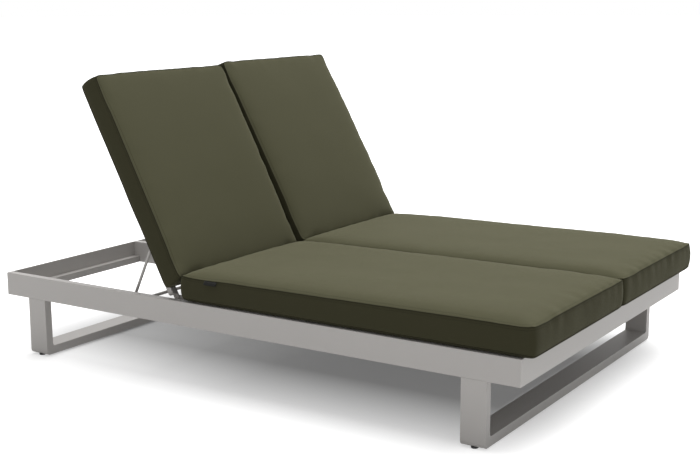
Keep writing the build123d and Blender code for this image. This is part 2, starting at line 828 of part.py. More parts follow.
crossbar_length = bay_width - 2 * crossbar_end_gap
foot_line_y = crossbar_place(tilt)
for side, sign in sides:
    with BuildPart() as prop_crossbar:
        with BuildSketch(Plane.YZ.offset(sign * bay_centre - crossbar_length / 2)):
            with Locations((foot_line_y, foot_z)):
                Circle(crossbar_radius)
        extrude(amount=crossbar_length)
        fillet(prop_crossbar.edges(), radius=crossbar_radius / 4)
    save(prop_crossbar, f"prop_crossbar_{side}")

    with BuildPart() as prop_legs:
        for hand in (-1, 1):
            leg_x = sign * bay_centre + hand * leg_plane
            rod_plane = Plane(
                origin=(leg_x, pivot_y, pivot_z),
                x_dir=(1, 0, 0),
                z_dir=(0, cos(prop_lean), -sin(prop_lean)),
            )
            with BuildSketch(rod_plane):
                Circle(leg_rod_radius)
            extrude(amount=prop_length)
            with BuildSketch(Plane.YZ.offset(leg_x - eye_length / 2)):
                with Locations((pivot_y, pivot_z)):
                    Circle(eye_radius)
            extrude(amount=eye_length)
            with BuildSketch(Plane.YZ.offset(leg_x - eye_length / 2)):
                with Locations((pivot_y, pivot_z)):
                    Circle(pivot_radius + running_gap)
            extrude(amount=eye_length, mode=Mode.SUBTRACT)
            with BuildSketch(Plane.YZ.offset(leg_x - eye_length)):
                with Locations((foot_line_y, foot_z)):
                    Circle(crossbar_radius)
            extrude(amount=2 * eye_length, mode=Mode.SUBTRACT)
    save(prop_legs, f"prop_legs_{side}")


def cushion(start, along, lengthways, low_thick, high_thick, crown):
    """Cushion lofted from a point: flat below, bulged sides, drawn-in waist, crowned top."""
    direction = Vector(*along)
    with BuildPart() as form:
        for place, end, rise, draw in zip(station_shares, end_shares, crown_shares, draw_shares):
            origin = Vector(*start) + direction * (lengthways * place)
            half = cushion_width / 2 - end * cushion_end_round - draw * cushion_draw
            seam = half - cushion_bulge
            thick = low_thick + (high_thick - low_thick) * place - end * cushion_end_round
            with BuildSketch(Plane(origin=origin, x_dir=(1, 0, 0), z_dir=direction * -1)):
                with BuildLine():
                    Line((-seam, 0), (seam, 0))
                    ThreePointArc((seam, 0), (half, thick / 2), (seam, thick))
                    ThreePointArc((seam, thick), (0, thick + crown * rise), (-seam, thick))
                    ThreePointArc((-seam, thick), (-half, thick / 2), (-seam, 0))
                make_face()
        loft(ruled=True)
    return form


# Cushions
# One seat cushion and one back cushion on each side, clear of what carries them.

cushion_centre = cushion_split / 2 + cushion_width / 2
seat_cushion_foot = foot_y - cushion_overhang
seat_cushion_length = seat_end - seat_cushion_foot
back_start_y = hinge_y + back_cushion_start * cos(tilt) - back_offset * sin(tilt)
back_start_z = hinge_z + back_cushion_start * sin(tilt) + back_offset * cos(tilt)
for side, sign in sides:
    seat_cushion = cushion(
        (sign * cushion_centre, seat_cushion_foot, deck_top + soft_gap),
        (0, 1, 0),
        seat_cushion_length,
        seat_low_thick,
        cushion_thick,
        seat_crown,
    )
    save(seat_cushion, f"seat_cushion_{side}")

    back_cushion = cushion(
        (sign * cushion_centre, back_start_y, back_start_z),
        (0, cos(tilt), sin(tilt)),
        back_cushion_length,
        cushion_thick,
        cushion_thick,
        back_crown,
    )
    save(back_cushion, f"back_cushion_{side}")

print("hinge line", round(hinge_y, 2), round(hinge_z, 2))
print("prop pivot", round(pivot_y, 2), round(pivot_z, 2))
print("crossbar at rest", round(foot_line_y, 2), round(foot_z, 2))
print("notches", [round(place, 1) for place in notch_places])
print("prop lean", round(degrees(prop_lean), 2), "prop travel", round(prop_ratio * back_angle, 2))
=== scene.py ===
"""Double chaise lounger: soft cushions, powder-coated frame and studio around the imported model."""
import logging
import math
from dataclasses import dataclass, field
from enum import Enum

import bmesh
import bpy
from bmesh.types import BMesh, BMVert
from bpy.types import ID, Material, Mesh, Node, NodeSocket, NodeTree, Object
from mathutils import Matrix, Vector, noise


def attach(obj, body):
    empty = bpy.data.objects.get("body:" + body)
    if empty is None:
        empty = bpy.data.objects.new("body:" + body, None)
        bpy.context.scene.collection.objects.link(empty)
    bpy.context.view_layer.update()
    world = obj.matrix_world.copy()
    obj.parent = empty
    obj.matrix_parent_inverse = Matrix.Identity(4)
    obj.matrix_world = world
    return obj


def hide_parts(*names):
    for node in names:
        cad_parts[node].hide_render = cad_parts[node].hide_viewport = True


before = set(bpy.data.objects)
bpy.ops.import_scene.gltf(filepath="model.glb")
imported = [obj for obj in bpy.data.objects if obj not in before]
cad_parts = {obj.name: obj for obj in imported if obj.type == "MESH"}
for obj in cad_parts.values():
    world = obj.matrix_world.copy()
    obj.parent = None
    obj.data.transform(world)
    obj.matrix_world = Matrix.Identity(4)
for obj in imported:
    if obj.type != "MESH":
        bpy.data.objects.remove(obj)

log = logging.getLogger("lounger")

LEFT_RIGHT = (("left", -1.0), ("right", 1.0))
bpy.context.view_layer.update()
HINGE = Vector((0.0, 0.278, 0.2765))
BACK_ANGLE = math.radians(62.0)
UP = Vector((0, 0, 1))
WHITE = (1, 1, 1, 1)
# How the cloth simulation blows up a cover, by the names of its settings in Blender.
FILLING: dict[str, object] = {
    "quality": 6,
    "mass": 0.3,
    "tension_stiffness": 25,
    "compression_stiffness": 20,
    "shear_stiffness": 8,
    "bending_stiffness": 1.5,
    "use_pressure": True,
    "uniform_pressure_force": 4,
    "vertex_group_mass": "held",
}
CLOTH_MAP = "cloth"
SEAM_MAP = "seam"

Pair = tuple[float, float]
Triple = tuple[float, float, float]
Rgba = tuple[float, float, float, float]
Grid = tuple[int, int, int]


class Panel(Enum):
    """The panels of a boxed cushion cover."""

    TOP = 0
    SIDE = 1
    HEM = 2
    BASE = 3

    @property
    def finish(self) -> int:
        """Number of the finish that the panel wears: the base wears the sides' cloth."""
        # Sides and base wear the darker side cloth, the hem the dark seam cloth: both painted shade.
        return Panel.SIDE.value if self is Panel.BASE else self.value


# Making meshes and objects


def put(name: str, data: ID) -> Object:
    """Makes an object and adds it to the scene.

    Args:
        name: Name of the object.
        data: Its mesh, lamp or camera.

    Returns:
        The object.
    """
    thing = bpy.data.objects.new(name, data)
    bpy.context.scene.collection.objects.link(thing)
    return thing


def mapped_mesh() -> BMesh:
    """Starts a mesh that has both maps of the cloth finishes.

    Returns:
        The empty mesh.
    """
    mesh = bmesh.new()
    mesh.loops.layers.uv.new(CLOTH_MAP)
    mesh.loops.layers.uv.new(SEAM_MAP)
    return mesh


def finished_mesh(name: str, mesh: BMesh) -> Mesh:
    """Turns a mesh under construction into a finished one.

    Args:
        name: Name of the mesh.
        mesh: The mesh under construction, which is freed.

    Returns:
        The finished mesh.
    """
    data = bpy.data.meshes.new(name)
    mesh.to_mesh(data)
    mesh.free()
    return data


# Shader building blocks


def new_group(
    name: str, inputs: dict[str, float], outputs: tuple[str, ...]
) -> tuple[NodeTree, Node, Node]:
    """Makes an empty shader node group whose sockets carry numbers.

    Args:
        name: Name of the group.
        inputs: Default value of each input, by its name.
        outputs: Names of the outputs.

    Returns:
        The node group, its input node and its output node.
    """
    group = bpy.data.node_groups.new(name, "ShaderNodeTree")
    kind = "NodeSocketFloat"
    for label, value in inputs.items():
        socket = group.interface.new_socket(label, in_out="INPUT", socket_type=kind)
        socket.default_value = value
    for label in outputs:
        group.interface.new_socket(label, in_out="OUTPUT", socket_type=kind)
    return group, group.nodes.new("NodeGroupInput"), group.nodes.new("NodeGroupOutput")


def feed(tree: NodeTree, node: Node, values: dict[str | int, object]) -> None:
    """Gives inputs of a node what they take.

    Args:
        tree: The node tree.
        node: The node.
        values: By input, the number or colour that is set, or the socket that is linked.
    """
    for key, value in values.items():
        if isinstance(value, NodeSocket):
            tree.links.new(value, node.inputs[key])
        else:
            node.inputs[key].default_value = value


def group_node(tree: NodeTree, group: NodeTree) -> Node:
    """Adds a node that uses a node group.

    Args:
        tree: The node tree.
        group: The node group.

    Returns:
        The node.
    """
    node = tree.nodes.new("ShaderNodeGroup")
    node.node_tree = group
    return node


def map_node(tree: NodeTree, name: str) -> NodeSocket:
    """Adds a UV Map node.

    Args:
        tree: The node tree.
        name: Name of the map.

    Returns:
        The socket with the map's coordinates.
    """
    node = tree.nodes.new("ShaderNodeUVMap")
    node.uv_map = name
    return node.outputs[0]


def split_node(tree: NodeTree, place: NodeSocket) -> tuple[NodeSocket, ...]:
    """Adds a Separate XYZ node.

    Args:
        tree: The node tree.
        place: Socket with the coordinates.

    Returns:
        The sockets for X, Y and Z.
    """
    node = tree.nodes.new("ShaderNodeSeparateXYZ")
    feed(tree, node, {0: place})
    return tuple(node.outputs)


def math_node(tree: NodeTree, operation: str, *values: object, clamp: bool = False) -> NodeSocket:
    """Adds a Math node.

    Args:
        tree: The node tree.
        operation: Name of the operation.
        values: Numbers or sockets for its inputs, in order.
        clamp: Whether the result is kept from 0 to 1.

    Returns:
        The output socket.
    """
    node = tree.nodes.new("ShaderNodeMath")
    node.operation = operation
    node.use_clamp = clamp
    feed(tree, node, dict(enumerate(values)))
    return node.outputs[0]


def noise_node(tree: NodeTree, place: NodeSocket, scale: object, detail: float) -> NodeSocket:
    """Adds a Noise Texture node.

    Args:
        tree: The node tree.
        place: Socket with the coordinates.
        scale: Number or socket for the scale.
        detail: Number of octaves.

    Returns:
        The noise value's socket.
    """
    node = tree.nodes.new("ShaderNodeTexNoise")
    feed(tree, node, {"Vector": place, "Scale": scale, "Detail": detail})
    return node.outputs["Fac"]


def mix_colour(tree: NodeTree, factor: object, first: object, second: object) -> NodeSocket:
    """Adds a colour Mix node.

    Args:
        tree: The node tree.
        factor: Number or socket for the share of the second colour.
        first: Colour or socket.
        second: Colour or socket.

    Returns:
        The mixed colour's socket.
    """
    node = tree.nodes.new("ShaderNodeMix")
    node.data_type = "RGBA"
    node.blend_type = "MIX"
    feed(tree, node, {0: factor, 6: first, 7: second})
    return node.outputs[2]


def stitch_group() -> NodeTree:
    """Builds the row of stitches that runs beside a seam.

    Returns:
        A group with a mask of the stitches and the height of the pulled-down cloth.
    """
    thread_edge, thread_core = 1600.0, 1.2
    stitch_share, groove_edge = 0.7, 330.0
    group, entry, leave = new_group(
        "seam stitching", {"Inset": 0.007, "Stitch Length": 0.0045}, ("Stitch", "Height")
    )
    along, inside, _ = split_node(group, map_node(group, SEAM_MAP))
    past_row = math_node(group, "SUBTRACT", inside, entry.outputs["Inset"])
    off = math_node(group, "ABSOLUTE", past_row)
    thread = math_node(group, "MULTIPLY_ADD", off, -thread_edge, thread_core, clamp=True)
    stitches = math_node(group, "DIVIDE", along, entry.outputs["Stitch Length"])
    phase = math_node(group, "FRACT", stitches)
    dash = math_node(group, "LESS_THAN", phase, stitch_share)
    sewn = math_node(group, "MULTIPLY", thread, dash)
    groove = math_node(group, "MULTIPLY_ADD", off, -groove_edge, 1.0, clamp=True)
    feed(group, leave, {"Stitch": sewn, "Height": math_node(group, "MULTIPLY", groove, -1.0)})
    return group


def weave_group() -> NodeTree:
    """Builds the plain weave of outdoor cloth.

    Returns:
        A group with the thread height, and a mask of lighter and darker threads.
    """
    slub_scale, slub_detail = 420.0, 2.0
    threads_for_mm = math.pi * 1000.0
    group, entry, leave = new_group(
        "plain weave", {"Thread Width": 0.9, "Slub": 0.5}, ("Height", "Thread Mask")
    )
    place = map_node(group, CLOTH_MAP)
    across, along, _ = split_node(group, place)
    turns = math_node(group, "DIVIDE", threads_for_mm, entry.outputs["Thread Width"])
    warp = math_node(group, "SINE", math_node(group, "MULTIPLY", across, turns))
    weft = math_node(group, "SINE", math_node(group, "MULTIPLY", along, turns))
    cross = math_node(group, "MULTIPLY", warp, weft)
    over = math_node(group, "ABSOLUTE", cross)
    slub = noise_node(group, place, slub_scale, slub_detail)
    raised = math_node(group, "MULTIPLY_ADD", slub, entry.outputs["Slub"], over)
    mask = math_node(group, "MULTIPLY_ADD", cross, 0.5, 0.5)
    feed(group, leave, {"Height": raised, "Thread Mask": mask})
    return group


def grain_group() -> NodeTree:
    """Builds the fine orange peel and dust of a powder coat.

    Returns:
        A group with the grain height, a mask of dull patches and a mask of worn edges.
    """
    grain_detail, patch_detail = 2.0, 4.0
    edge_gain, edge_level = 12.0, 6.1
    group, entry, leave = new_group(
        "powder grain", {"Grain Scale": 900.0, "Patch Scale": 5.0}, ("Height", "Patch", "Edge")
    )
    place = group.nodes.new("ShaderNodeTexCoord").outputs["Object"]
    grain = noise_node(group, place, entry.outputs["Grain Scale"], grain_detail)
    patch = noise_node(group, place, entry.outputs["Patch Scale"], patch_detail)
    point = group.nodes.new("ShaderNodeNewGeometry").outputs["Pointiness"]
    sharp = math_node(group, "MULTIPLY_ADD", point, edge_gain, -edge_level, clamp=True)
    feed(group, leave, {"Height": grain, "Patch": patch, "Edge": sharp})
    return group


@dataclass(frozen=True)
class Finish:
    """A finish that a material is made from.

    Attributes:
        name: Name of the material.
        colour: Linear base colour.
        roughness: Mean roughness.
        metallic: Share of bare metal.
        relief: Depth of the finest bumps, in metres.
        rough_swing: How much the roughness varies from patch to patch.
    """

    name: str
    colour: Triple
    roughness: float
    metallic: float = 0.0
    relief: float = 0.00002
    rough_swing: float = 0.1

    def shade(self, share: float) -> Rgba:
        """Returns the colour with its brightness multiplied by a share."""
        return tuple(c * share for c in self.colour) + (1.0,)

    def start(self) -> tuple[Material, NodeTree, Node]:
        """Makes the material with a Principled shader.

        Returns:
            The material, its node tree and the shader node.
        """
        material = bpy.data.materials.new(self.name)
        material.use_nodes = True
        tree = material.node_tree
        shader = tree.nodes["Principled BSDF"]
        feed(tree, shader, {"Roughness": self.roughness, "Metallic": self.metallic})
        material.diffuse_color = self.shade(1.0)
        return material, tree, shader

    def between(self, tree: NodeTree, factor: object, shades: Pair) -> NodeSocket:
        """Mixes two shades of the colour, given by their brightness, and returns the socket."""
        return mix_colour(tree, factor, *[self.shade(share) for share in shades])

    def vary(self, tree: NodeTree, shader: Node, patches: NodeSocket) -> None:
        """Lets the shader's roughness vary round its mean.

        Args:
            tree: The material's node tree.
            shader: Its shader node.
            patches: Socket with a mask of the rougher patches.
        """
        low = self.roughness - self.rough_swing / 2
        rough = math_node(tree, "MULTIPLY_ADD", patches, self.rough_swing, low)
        feed(tree, shader, {"Roughness": rough})

    def bump(self, tree: NodeTree, shader: Node, height: NodeSocket) -> None:
        """Drives the shader's normal from a height socket.

        Args:
            tree: The material's node tree.
            shader: Its shader node.
            height: Socket with the height of the finest bumps.
        """
        node = tree.nodes.new("ShaderNodeBump")
        feed(tree, node, {"Strength": 1.0, "Distance": self.relief, "Height": height})
        feed(tree, shader, {"Normal": node.outputs["Normal"]})


@dataclass(frozen=True)
class Fabric(Finish):
    """Woven outdoor cloth.

    Attributes:
        thread_mm: Width of one thread.
        sheen: Weight of the fuzz highlight.
        sheen_roughness: How widely the fuzz highlight spreads.
        sheen_tint: Its colour.
        specular: Level of the plain highlight.
        thread_shades: Brightness of the darker and of the lighter threads.
        cloud_shades: Brightness of the darkest and of the lightest patches.
        cloud_scale: Scale of the patches.
        cloud_detail: Number of their octaves.
        cloud_swing: How far the patches go from the middle of their shades.
        cloud_share: Share of the patches in the colour, beside the threads.
        stitch_shade: Brightness of a stitch.
        stitch_depth: Depth of a row of stitches, beside the threads' height.
    """

    relief: float = 0.00008
    thread_mm: float = 0.9
    sheen: float = 0.25
    sheen_roughness: float = 0.3
    sheen_tint: Rgba = (0.85, 0.83, 0.60, 1.0)
    specular: float = 0.1
    thread_shades: Pair = (0.86, 1.12)
    cloud_shades: Pair = (0.8, 1.2)
    cloud_scale: float = 7.0
    cloud_detail: float = 4.0
    cloud_swing: float = 0.26
    cloud_share: float = 0.45
    stitch_shade: float = 0.45
    stitch_depth: float = 4.0

    def make(self, weave: NodeTree, stitch: NodeTree) -> Material:
        """Builds the material.

        Args:
            weave: The weave node group.
            stitch: The stitching node group.

        Returns:
            The finished material.
        """
        material, tree, shader = self.start()
        feed(tree, shader, {"Sheen Weight": self.sheen, "Sheen Roughness": self.sheen_roughness})
        feed(tree, shader, {"Sheen Tint": self.sheen_tint, "Specular IOR Level": self.specular})
        cloth = group_node(tree, weave)
        feed(tree, cloth, {"Thread Width": self.thread_mm})
        threads = self.between(tree, cloth.outputs["Thread Mask"], self.thread_shades)
        place = map_node(tree, CLOTH_MAP)
        cloud = noise_node(tree, place, self.cloud_scale, self.cloud_detail)
        tone = math_node(tree, "MULTIPLY_ADD", cloud, self.cloud_swing, -self.cloud_swing / 2)
        paler = self.between(tree, math_node(tree, "ADD", tone, 0.5), self.cloud_shades)
        colour = mix_colour(tree, self.cloud_share, threads, paler)
        sewn = group_node(tree, stitch)
        colour = mix_colour(tree, sewn.outputs["Stitch"], colour, self.shade(self.stitch_shade))
        feed(tree, shader, {"Base Color": colour})
        self.vary(tree, shader, cloud)
        rows, weft = sewn.outputs["Height"], cloth.outputs["Height"]
        self.bump(tree, shader, math_node(tree, "MULTIPLY_ADD", rows, self.stitch_depth, weft))
        return material


@dataclass(frozen=True)
class Coat(Finish):
    """Powder coat, bare metal or moulded nylon, which all show fine grain and worn edges.

    Attributes:
        grain: Scale of the fine grain.
        wear: How much of the paler edge colour shows.
        patch_shades: Brightness of the darker and of the lighter patches.
        edge_shade: Brightness of a worn edge.
    """

    rough_swing: float = 0.14
    grain: float = 900.0
    wear: float = 0.12
    patch_shades: Pair = (0.95, 1.05)
    edge_shade: float = 1.5

    def make(self, grain: NodeTree) -> Material:
        """Builds the material.

        Args:
            grain: The powder grain node group.

        Returns:
            The finished material.
        """
        material, tree, shader = self.start()
        coat = group_node(tree, grain)
        feed(tree, coat, {"Grain Scale": self.grain})
        patch = self.between(tree, coat.outputs["Patch"], self.patch_shades)
        worn = math_node(tree, "MULTIPLY", coat.outputs["Edge"], self.wear)
        colour = mix_colour(tree, worn, patch, self.shade(self.edge_shade))
        feed(tree, shader, {"Base Color": colour})
        self.vary(tree, shader, coat.outputs["Patch"])
        self.bump(tree, shader, coat.outputs["Height"])
        return material


class Finishes:
    """Every finish of the lounger, made once."""

    top_cloth = Fabric("olive cloth", (0.105, 0.102, 0.060), 0.86, sheen=0.3)
    # The side cloth is a darker copy of the top cloth: painted shade on the sides and base.
    painted_shade_side_cloth = Fabric("olive gusset cloth", (0.042, 0.040, 0.0215), 0.88, sheen=0.2)
    # The seam cloth is darker than the cover: painted shade along the seams and on the hem band.
    piping = Fabric(
        "olive seam cloth with painted shade", (0.026, 0.0248, 0.0135), 0.9, relief=0.00005, thread_mm=0.6, sheen=0.1
    )
    tag = Fabric("blank tag tape", (0.016, 0.016, 0.015), 0.7, thread_mm=0.4, sheen=0.05)
    frame_coat = Coat("warm grey powder coat", (0.435, 0.417, 0.40), 0.48)
    rod_coat = Coat("grey coated rod", (0.42, 0.405, 0.385), 0.42)
    steel = Coat("stainless steel", (0.55, 0.54, 0.52), 0.34, metallic=1.0, grain=1500.0, wear=0.3)
    nylon = Coat("black nylon", (0.02, 0.02, 0.02), 0.55, relief=0.00004, wear=0.05)

    def __init__(self) -> None:
        """Makes the node groups and the materials."""
        weave, stitch, grain = weave_group(), stitch_group(), grain_group()
        self.cloth = self.top_cloth.make(weave, stitch)
        self.painted_shade_gusset = self.painted_shade_side_cloth.make(weave, stitch)
        self.seam = self.piping.make(weave, stitch)
        self.tape = self.tag.make(weave, stitch)
        self.paint = self.frame_coat.make(grain)
        self.rods = self.rod_coat.make(grain)
        self.metal = self.steel.make(grain)
        self.plastic = self.nylon.make(grain)

    def dress(self, node: str, thing: Object) -> None:
        """Gives a CAD node its finish.

        Args:
            node: Name of the node.
            thing: Its object.
        """
        if node == "glide_feet":
            material = self.plastic
        elif any(word in node for word in ("screws", "bolts", "nuts", "pins")):
            material = self.metal
        elif node.startswith(("prop_crossbar", "prop_legs")):
            material = self.rods
        else:
            material = self.paint
        thing.data.materials.clear()
        thing.data.materials.append(material)


# Cushions


@dataclass
class Cushion:
    """A boxed cushion with a crowned top, drawn-in sides and piping along both seams.

    Its own X runs across it, Y along it from the lower end, and Z from what carries it.

    Attributes:
        name: Name of the piece.
        node: CAD node that it stands for.
        body: Body that it rides on.
        place: Matrix from the cushion's own axes to the lounger's.
        width: Width of the cover across its seams.
        length: Length of the cover.
        low: Height of the side at the lower end.
        high: Height of the side at the upper end.
        crown: How far the top swells at its middle.
        seed: Offset of its unevenness, so that no two cushions are alike.
        inner: Sign of the side, along its own X, that faces the other cushion.
        room: Distance from its middle to where the other cushion starts.
        roll: Power of the crown's curve: more keeps it flat until closer to the seams.
        arch: Share of the crown that is lost by the upper end, and half of that by the lower.
        lean: How much further up the lower end starts at its top than at its base.
        lean_fade: How many times shorter than the cushion the stretch is that leans.
        cell: Size of a mesh cell before it is subdivided.
        rim: Distance of the first row of cells from an edge.
        side_rows: Number of rows of cells on a side, between its two narrow ones.
        corner: Radius of the corners seen from above.
        bulge: How far the sides swell at half their height.
        bulge_power: Power of that swell's curve: less makes it fuller.
        side_cap: How far the filling may move a side beyond that.
        crown_share: Share of the crown that is given, whatever the filling does.
        lift_share: Share of the crown that the filling may add.
        lift_floor: How far the filling may move the top at its seam.
        uneven: Depth of the slow unevenness.
        uneven_scale: Scale of it.
        ripple: Depth of the puckers beside a seam.
        ripple_scale: Scale of the puckers along a seam and away from it.
        ripple_start: Distance from the seam over which they start.
        ripple_reach: Distance over which they die away.
        level: Height above the base up to which a cover stays even.
        pipe: Radius of the piping.
        pipe_sides: Number of its sides.
        pipe_out: How far it lies outside the seam, as a share of its radius.
        pipe_map: Size of a side's cloth in the map, as a share of the radius.
        tuck: How far the base is drawn in under the lower seam.
        hem_height: Height of the lower seam above the base.
        frames: Number of frames in which the cover is filled.
        seam: Numbers of the vertices along the top seam, in order.
        hem: Numbers of the vertices along the lower seam, in order.
        held: Numbers of the vertices of the base.
        top: Numbers of the vertices of the top panel.
        start: Where the vertices lie before the cover is filled.
    """

    name: str
    node: str
    body: str
    place: Matrix
    width: float
    length: float
    low: float
    high: float
    crown: float
    seed: float
    inner: int
    room: float
    roll: float = 6.5
    arch: float = 0.1
    lean: float = 0.0
    lean_fade: float = 8
    cell: float = 0.0165
    rim: float = 0.005
    side_rows: int = 4
    corner: float = 0.018
    bulge: float = 0.005
    bulge_power: float = 0.7
    side_cap: float = 0.003
    crown_share: float = 0.75
    lift_share: float = 0.3
    lift_floor: float = 0.0012
    uneven: float = 0.0016
    uneven_scale: float = 7.0
    ripple: float = 0.0038
    ripple_scale: Pair = (24.0, 9.0)
    ripple_start: float = 0.004
    ripple_reach: float = 0.028
    level: float = 0.004
    pipe: float = 0.0013
    pipe_sides: int = 8
    pipe_out: float = 0.3
    pipe_map: float = 0.8
    tuck: float = 0.010
    hem_height: float = 0.0026
    frames: int = 20
    seam: list[int] = field(default_factory=list)
    hem: list[int] = field(default_factory=list)
    held: list[int] = field(default_factory=list)
    top: list[int] = field(default_factory=list)
    start: list[Vector] = field(default_factory=list)

    def steps(self, size: float, rows: int = 0) -> list[float]:
        """Lists the grid lines across a size, with one close to each edge.

        Args:
            size: Distance between the edges.
            rows: Number of cells between the two close lines, or 0 to follow the cell size.

        Returns:
            The places, from 0 to the size.
        """
        count = rows or max(2, round((size - 2 * self.rim) / self.cell))
        inside = [self.rim + (size - 2 * self.rim) * i / count for i in range(count + 1)]
        return [0.0] + inside + [size]

    def side_height(self, y: float) -> float:
        """Returns the height of the side at a place along the cushion."""
        return self.low + (self.high - self.low) * (y / self.length + 0.5)

    def rounded(self, x: float, y: float) -> Pair:
        """Moves a point of the square plan to the plan with rounded corners.

        Args:
            x: Its place across the cushion.
            y: Its place along the cushion.

        Returns:
            Both places in the rounded plan.
        """
        half_x, half_y = self.width / 2, self.length / 2
        a = (abs(x) - half_x + self.corner) / self.corner
        b = (abs(y) - half_y + self.corner) / self.corner
        if a <= 0 or b <= 0:
            return x, y
        new_a = a * math.sqrt(1 - b * b / 2)
        new_b = b * math.sqrt(1 - a * a / 2)
        new_x = half_x - self.corner + new_a * self.corner
        new_y = half_y - self.corner + new_b * self.corner
        return math.copysign(new_x, x), math.copysign(new_y, y)

    def seam_place(self, x: float, y: float) -> Pair:
        """Measures a plan point from the seam.

        Args:
            x: Its place across the cushion.
            y: Its place along the cushion.

        Returns:
            How far along the seam it lies, and how far inside it.
        """
        half_x, half_y = self.width / 2, self.length / 2
        to_x, to_y = half_x - abs(x), half_y - abs(y)
        if to_x < to_y:
            along = y + half_y if x > 0 else 2 * half_y + 2 * half_x + half_y - y
        else:
            along = 2 * half_y + half_x - x if y > 0 else 4 * half_y + 2 * half_x + half_x + x
        return along, min(to_x, to_y)

    def build(self) -> Object:
        """Builds the flat-topped cover that the filling then swells.

        Returns:
            The cover, in the cushion's own axes.
        """
        mesh = mapped_mesh()
        weave_uv = mesh.loops.layers.uv[CLOTH_MAP]
        seam_uv = mesh.loops.layers.uv[SEAM_MAP]
        xs, ys = self.steps(self.width), self.steps(self.length)
        zs = [z / self.high for z in self.steps(self.high, self.side_rows)]
        zs[1] = self.hem_height / self.high
        last_x, last_y, last_z = len(xs) - 1, len(ys) - 1, len(zs) - 1
        made: dict[Grid, BMVert] = {}

        def vertex(i: int, j: int, k: int) -> BMVert:
            """Finds the vertex at a grid point, making it if needed.

            Args:
                i: Number of its line across the cushion.
                j: Number of its line along the cushion.
                k: Number of its line up the cushion.

            Returns:
                The vertex.
            """
            if (i, j, k) not in made:
                x, y = self.rounded(xs[i] - self.width / 2, ys[j] - self.length / 2)
                high = self.low + (self.high - self.low) * ys[j] / self.length
                y += self.lean * zs[k] * max(0.0, 1 - self.lean_fade * ys[j] / self.length)
                if k == 0:
                    x *= 1 - 2 * self.tuck / self.width
                    y *= 1 - 2 * self.tuck / self.length
                made[i, j, k] = mesh.verts.new((x, y, zs[k] * high))
            return made[i, j, k]

        def face(panel: Panel, *corners: Grid) -> None:
            """Adds one quad with its finish and both maps.

            Args:
                panel: The panel that it belongs to.
                corners: Grid points of its corners, in order.
            """
            quad = mesh.faces.new([vertex(*c) for c in corners])
            quad.material_index = panel.finish
            quad.smooth = True
            for loop, (i, j, k) in zip(quad.loops, corners):
                x, y = xs[i] - self.width / 2, ys[j] - self.length / 2
                if panel in (Panel.SIDE, Panel.HEM):
                    along = self.seam_place(x, y)[0]
                    loop[weave_uv].uv = (along, zs[k] * self.high)
                    loop[seam_uv].uv = (along, (1 - zs[k]) * self.high)
                else:
                    loop[weave_uv].uv = (x, y)
                    on_top = panel is Panel.TOP
                    loop[seam_uv].uv = self.seam_place(x, y) if on_top else (0.0, 1.0)

        x, y, z = last_x, last_y, last_z
        for i in range(last_x):
            for j in range(last_y):
                face(Panel.TOP, (i, j, z), (i + 1, j, z), (i + 1, j + 1, z), (i, j + 1, z))
                face(Panel.BASE, (i, j, 0), (i, j + 1, 0), (i + 1, j + 1, 0), (i + 1, j, 0))
        for k in range(last_z):
            part = Panel.HEM if k == 0 else Panel.SIDE
            for i in range(last_x):
                face(part, (i, 0, k), (i + 1, 0, k), (i + 1, 0, k + 1), (i, 0, k + 1))
                face(part, (i, y, k), (i, y, k + 1), (i + 1, y, k + 1), (i + 1, y, k))
            for j in range(last_y):
                face(part, (0, j, k), (0, j, k + 1), (0, j + 1, k + 1), (0, j + 1, k))
                face(part, (x, j, k), (x, j + 1, k), (x, j + 1, k + 1), (x, j, k + 1))
        mesh.verts.index_update()
        ring = [(i, 0) for i in range(last_x)]
        ring += [(last_x, j) for j in range(last_y)]
        ring += [(i, last_y) for i in range(last_x, 0, -1)]
        ring += [(0, j) for j in range(last_y, 0, -1)]
        self.seam = [made[i, j, last_z].index for i, j in ring]
        self.hem = [made[i, j, 1].index for i, j in ring]
        self.held = sorted(v.index for (i, j, k), v in made.items() if k == 0)
        self.top = sorted(v.index for (i, j, k), v in made.items() if k == last_z)
        data = finished_mesh(self.name, mesh)
        self.start = [v.co.copy() for v in data.vertices]
        return put(self.name, data)

    def swell(self, thing: Object) -> list[Vector]:
        """Fills the cover by a cloth simulation under pressure.

        Args:
            thing: The cover.

        Returns:
            Where the filling has moved each vertex.
        """
        group = thing.vertex_groups.new(name=FILLING["vertex_group_mass"])
        group.add(self.held, 1.0, "REPLACE")
        cloth = thing.modifiers.new("filling", "CLOTH")
        for setting, value in FILLING.items():
            setattr(cloth.settings, setting, value)
        cloth.settings.effector_weights.gravity = 0
        scene = bpy.context.scene
        for step in range(1, self.frames + 1):
            scene.frame_set(step)
        seen = thing.evaluated_get(bpy.context.evaluated_depsgraph_get())
        moved = [v.co.copy() for v in seen.data.vertices]
        thing.modifiers.remove(cloth)
        thing.vertex_groups.remove(group)
        scene.frame_set(1)
        return moved

    def crowned(self, x: float, y: float) -> float:
        """Works out how much of the full crown a plan point has.

        Args:
            x: Its place across the cushion.
            y: Its place along the cushion.

        Returns:
            The share, from 0 at the seam to 1 in the middle.
        """
        across = max(0.0, 1 - abs(2 * x / self.width) ** self.roll)
        along = max(0.0, 1 - abs(2 * y / self.length) ** (self.roll * self.length / self.width))
        loss = self.arch * (1.0 if y > 0 else 0.5)
        return math.sqrt(across * along) * (1 - loss * (2 * y / self.length) ** 2)

